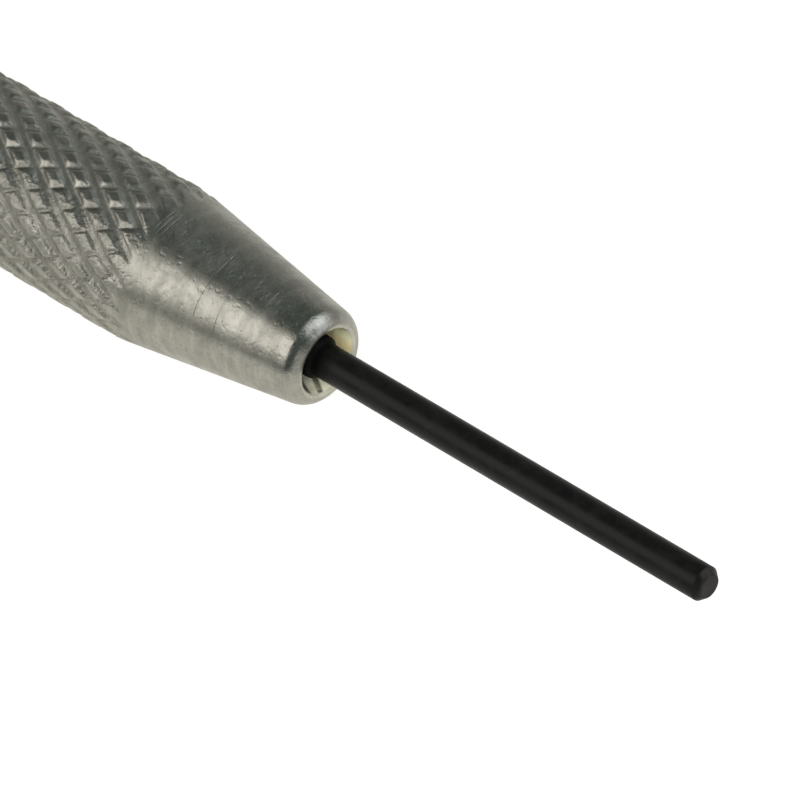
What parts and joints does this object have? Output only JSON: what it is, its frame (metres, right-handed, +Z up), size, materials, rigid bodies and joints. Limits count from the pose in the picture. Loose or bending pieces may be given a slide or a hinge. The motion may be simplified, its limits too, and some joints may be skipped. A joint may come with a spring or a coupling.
{
  "type": "pin punch",
  "caption": "Slim parallel punch pin guided in a knurled sheath with a tapered, rounded nose and driven by a sprung striker with a flat struck head.",
  "frame": {"origin": "on the surface that the tool lies on, below the middle of its length and width", "axes": "+X along the tool towards the pin's tip, +Z up, one flat of the rear hexagon facing down"},
  "size_m": [0.1378, 0.0134, 0.0116],
  "materials": {
    "zinc_plated_steel": "bright zinc plate, lightly worn",
    "black_oxide_steel": "black oxide, satin",
    "bare_steel": "turned, bare and oiled",
    "spring_steel": "drawn wire",
    "brass": "turned",
    "nitrile_rubber": "matt"
  },
  "bodies": {
    "sheath": {"guide_sheath": "zinc_plated_steel", "guide_bush": "brass", "gland_nut": "zinc_plated_steel", "buffer_ring": "nitrile_rubber", "return_spring": "spring_steel"},
    "follower": {"thrust_washer": "bare_steel"},
    "striker": {"striker": "black_oxide_steel", "lock_nut": "bare_steel", "blade_holder": "bare_steel", "punch_blade": "black_oxide_steel"}
  },
  "joints": [
    {"name": "striker_stroke", "type": "slide", "parent": "sheath", "child": "follower", "axis": [1, 0, 0], "range_m": [0, 0.012], "stiffness_N_per_m": 900, "springref_m": -0.006, "deforming": ["return_spring"]},
    {"name": "striker_turn", "type": "hinge", "parent": "follower", "child": "striker", "pos_m": [0, 0, 0.0058], "axis": [1, 0, 0], "continuous": true}
  ]
}
